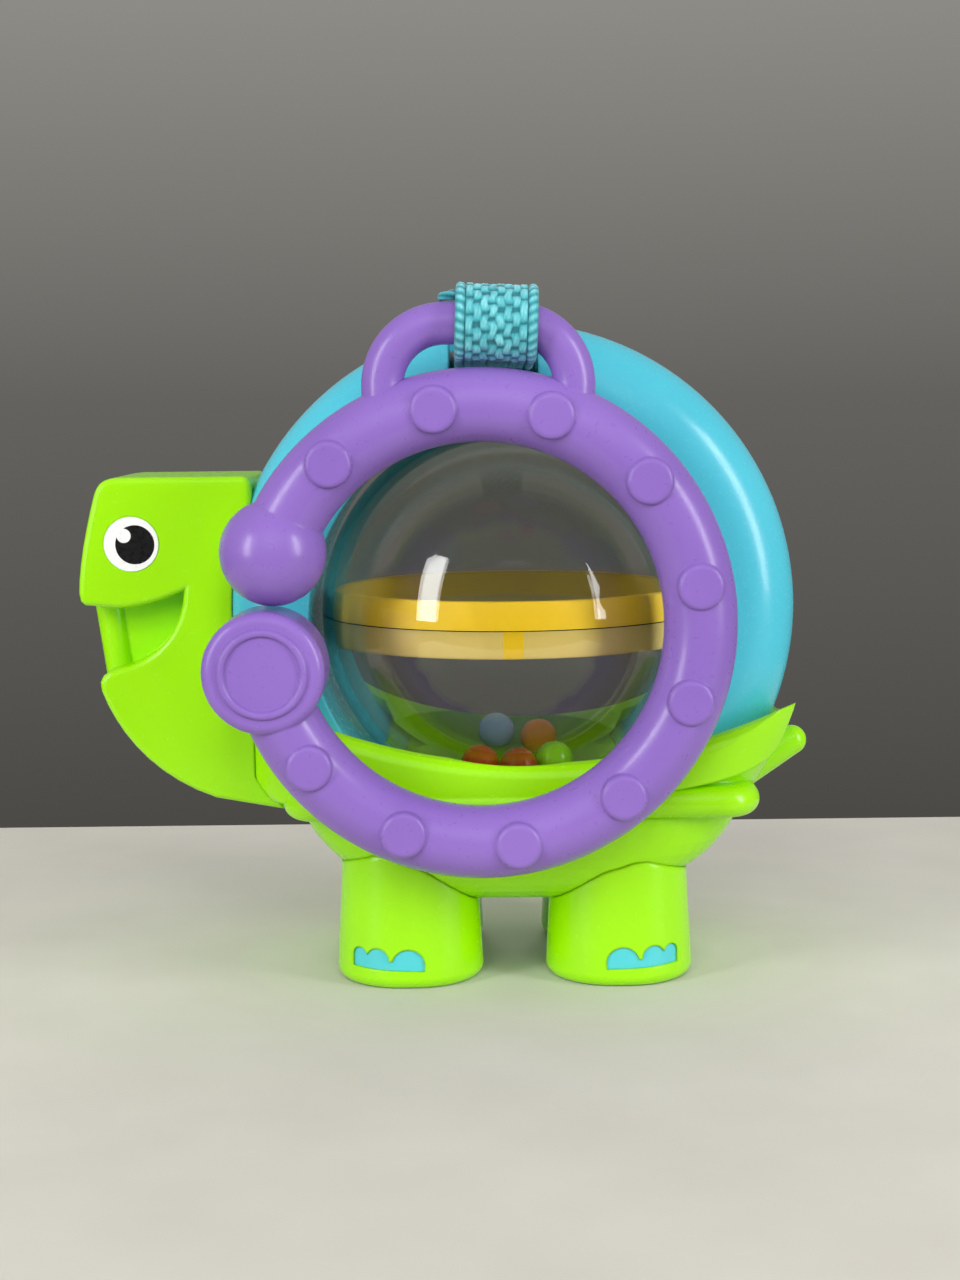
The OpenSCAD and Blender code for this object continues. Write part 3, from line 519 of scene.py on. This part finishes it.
def make_floor():
    """A plain pale floor that ends behind the toy."""
    mesh = bpy.data.meshes.new("floor")
    mesh.from_pydata([(-FLOOR_SIDE, FLOOR_NEAR, 0), (FLOOR_SIDE, FLOOR_NEAR, 0),
                      (FLOOR_SIDE, FLOOR_FAR, 0), (-FLOOR_SIDE, FLOOR_FAR, 0)],
                     [], [(0, 1, 2, 3)])
    mat, tree, bsdf = new_material("floor")
    tint(tree, bsdf, add_noise(tree, scale=40.0, detail=3.0), "CCC8BE", "D2CEC4")
    feed(tree, bsdf, {"Roughness": 0.7})
    mesh.materials.append(mat)
    floor = bpy.data.objects.new("floor", mesh)
    scene.collection.objects.link(floor)


def make_world():
    """Even light, and a grey wall that the camera, glass and gloss see behind the toy, with
    painted shade that darkens it towards the bottom.
    """
    world = bpy.data.worlds.new("studio")
    scene.world = world
    world.use_nodes = True
    tree = world.node_tree
    light = tree.nodes["Background"]
    feed(tree, light, {"Color": (0.87, 0.87, 0.87, 1.0), "Strength": 0.46})
    view = tree.nodes.new("ShaderNodeTexCoord").outputs["Generated"]
    upward = add_node(tree, "SeparateXYZ", {"Vector": view}).outputs["Z"]
    height = map_range(tree, upward, (0.0, 1.0), WALL_RISE)
    # Painted shade on the wall: dark grey at the bottom, pale grey at the top
    colour = ramp(tree, height, [
        (0.0, srgb("45433F")), (0.5, srgb("64625E")), (1.0, srgb("989690"))])
    wall = add_node(tree, "Background", {"Color": colour, "Strength": 1.0})
    rays = tree.nodes.new("ShaderNodeLightPath").outputs
    seen = math_node(tree, "MAXIMUM", rays["Is Camera Ray"], rays["Is Glossy Ray"])
    seen = math_node(tree, "MAXIMUM", seen, rays["Is Transmission Ray"])
    mix_shaders(tree, seen, light.outputs["Background"], wall.outputs["Background"],
                "World Output")


def softbox(name, azimuth, elevation, distance, size, power, shows):
    """An area lamp. Azimuth 0 is the camera's side and grows towards +x."""
    a, e = math.radians(azimuth), math.radians(elevation)
    away = Vector((math.sin(a) * math.cos(e), -math.cos(a) * math.cos(e), math.sin(e)))
    lamp = bpy.data.lights.new(name, "AREA")
    lamp.shape = "RECTANGLE"
    lamp.size, lamp.size_y = size
    lamp.energy = power
    obj = bpy.data.objects.new(name, lamp)
    obj.location = LIT_POINT + distance * away
    obj.rotation_euler = (LIT_POINT - obj.location).to_track_quat("-Z", "Y").to_euler()
    obj.visible_glossy = shows
    obj.visible_transmission = shows
    scene.collection.objects.link(obj)


def make_camera():
    """The photograph's camera."""
    data = bpy.data.cameras.new("camera")
    data.sensor_fit = "VERTICAL"
    data.sensor_height = SENSOR_HEIGHT
    data.lens = LENS
    data.clip_start = CLIP_START
    camera = bpy.data.objects.new("camera", data)
    camera.location = place(*CAMERA_AT)
    pitch = Euler((math.radians(90 - CAMERA_DOWN), 0.0, 0.0)).to_matrix()
    roll = Matrix.Rotation(math.radians(CAMERA_ROLL), 3, "Z")
    camera.rotation_euler = (pitch @ roll).to_euler()
    scene.collection.objects.link(camera)
    scene.camera = camera


make_floor()
make_world()
for lamp_name, lamp_values in LAMPS.items():
    softbox(lamp_name, *lamp_values)
make_camera()
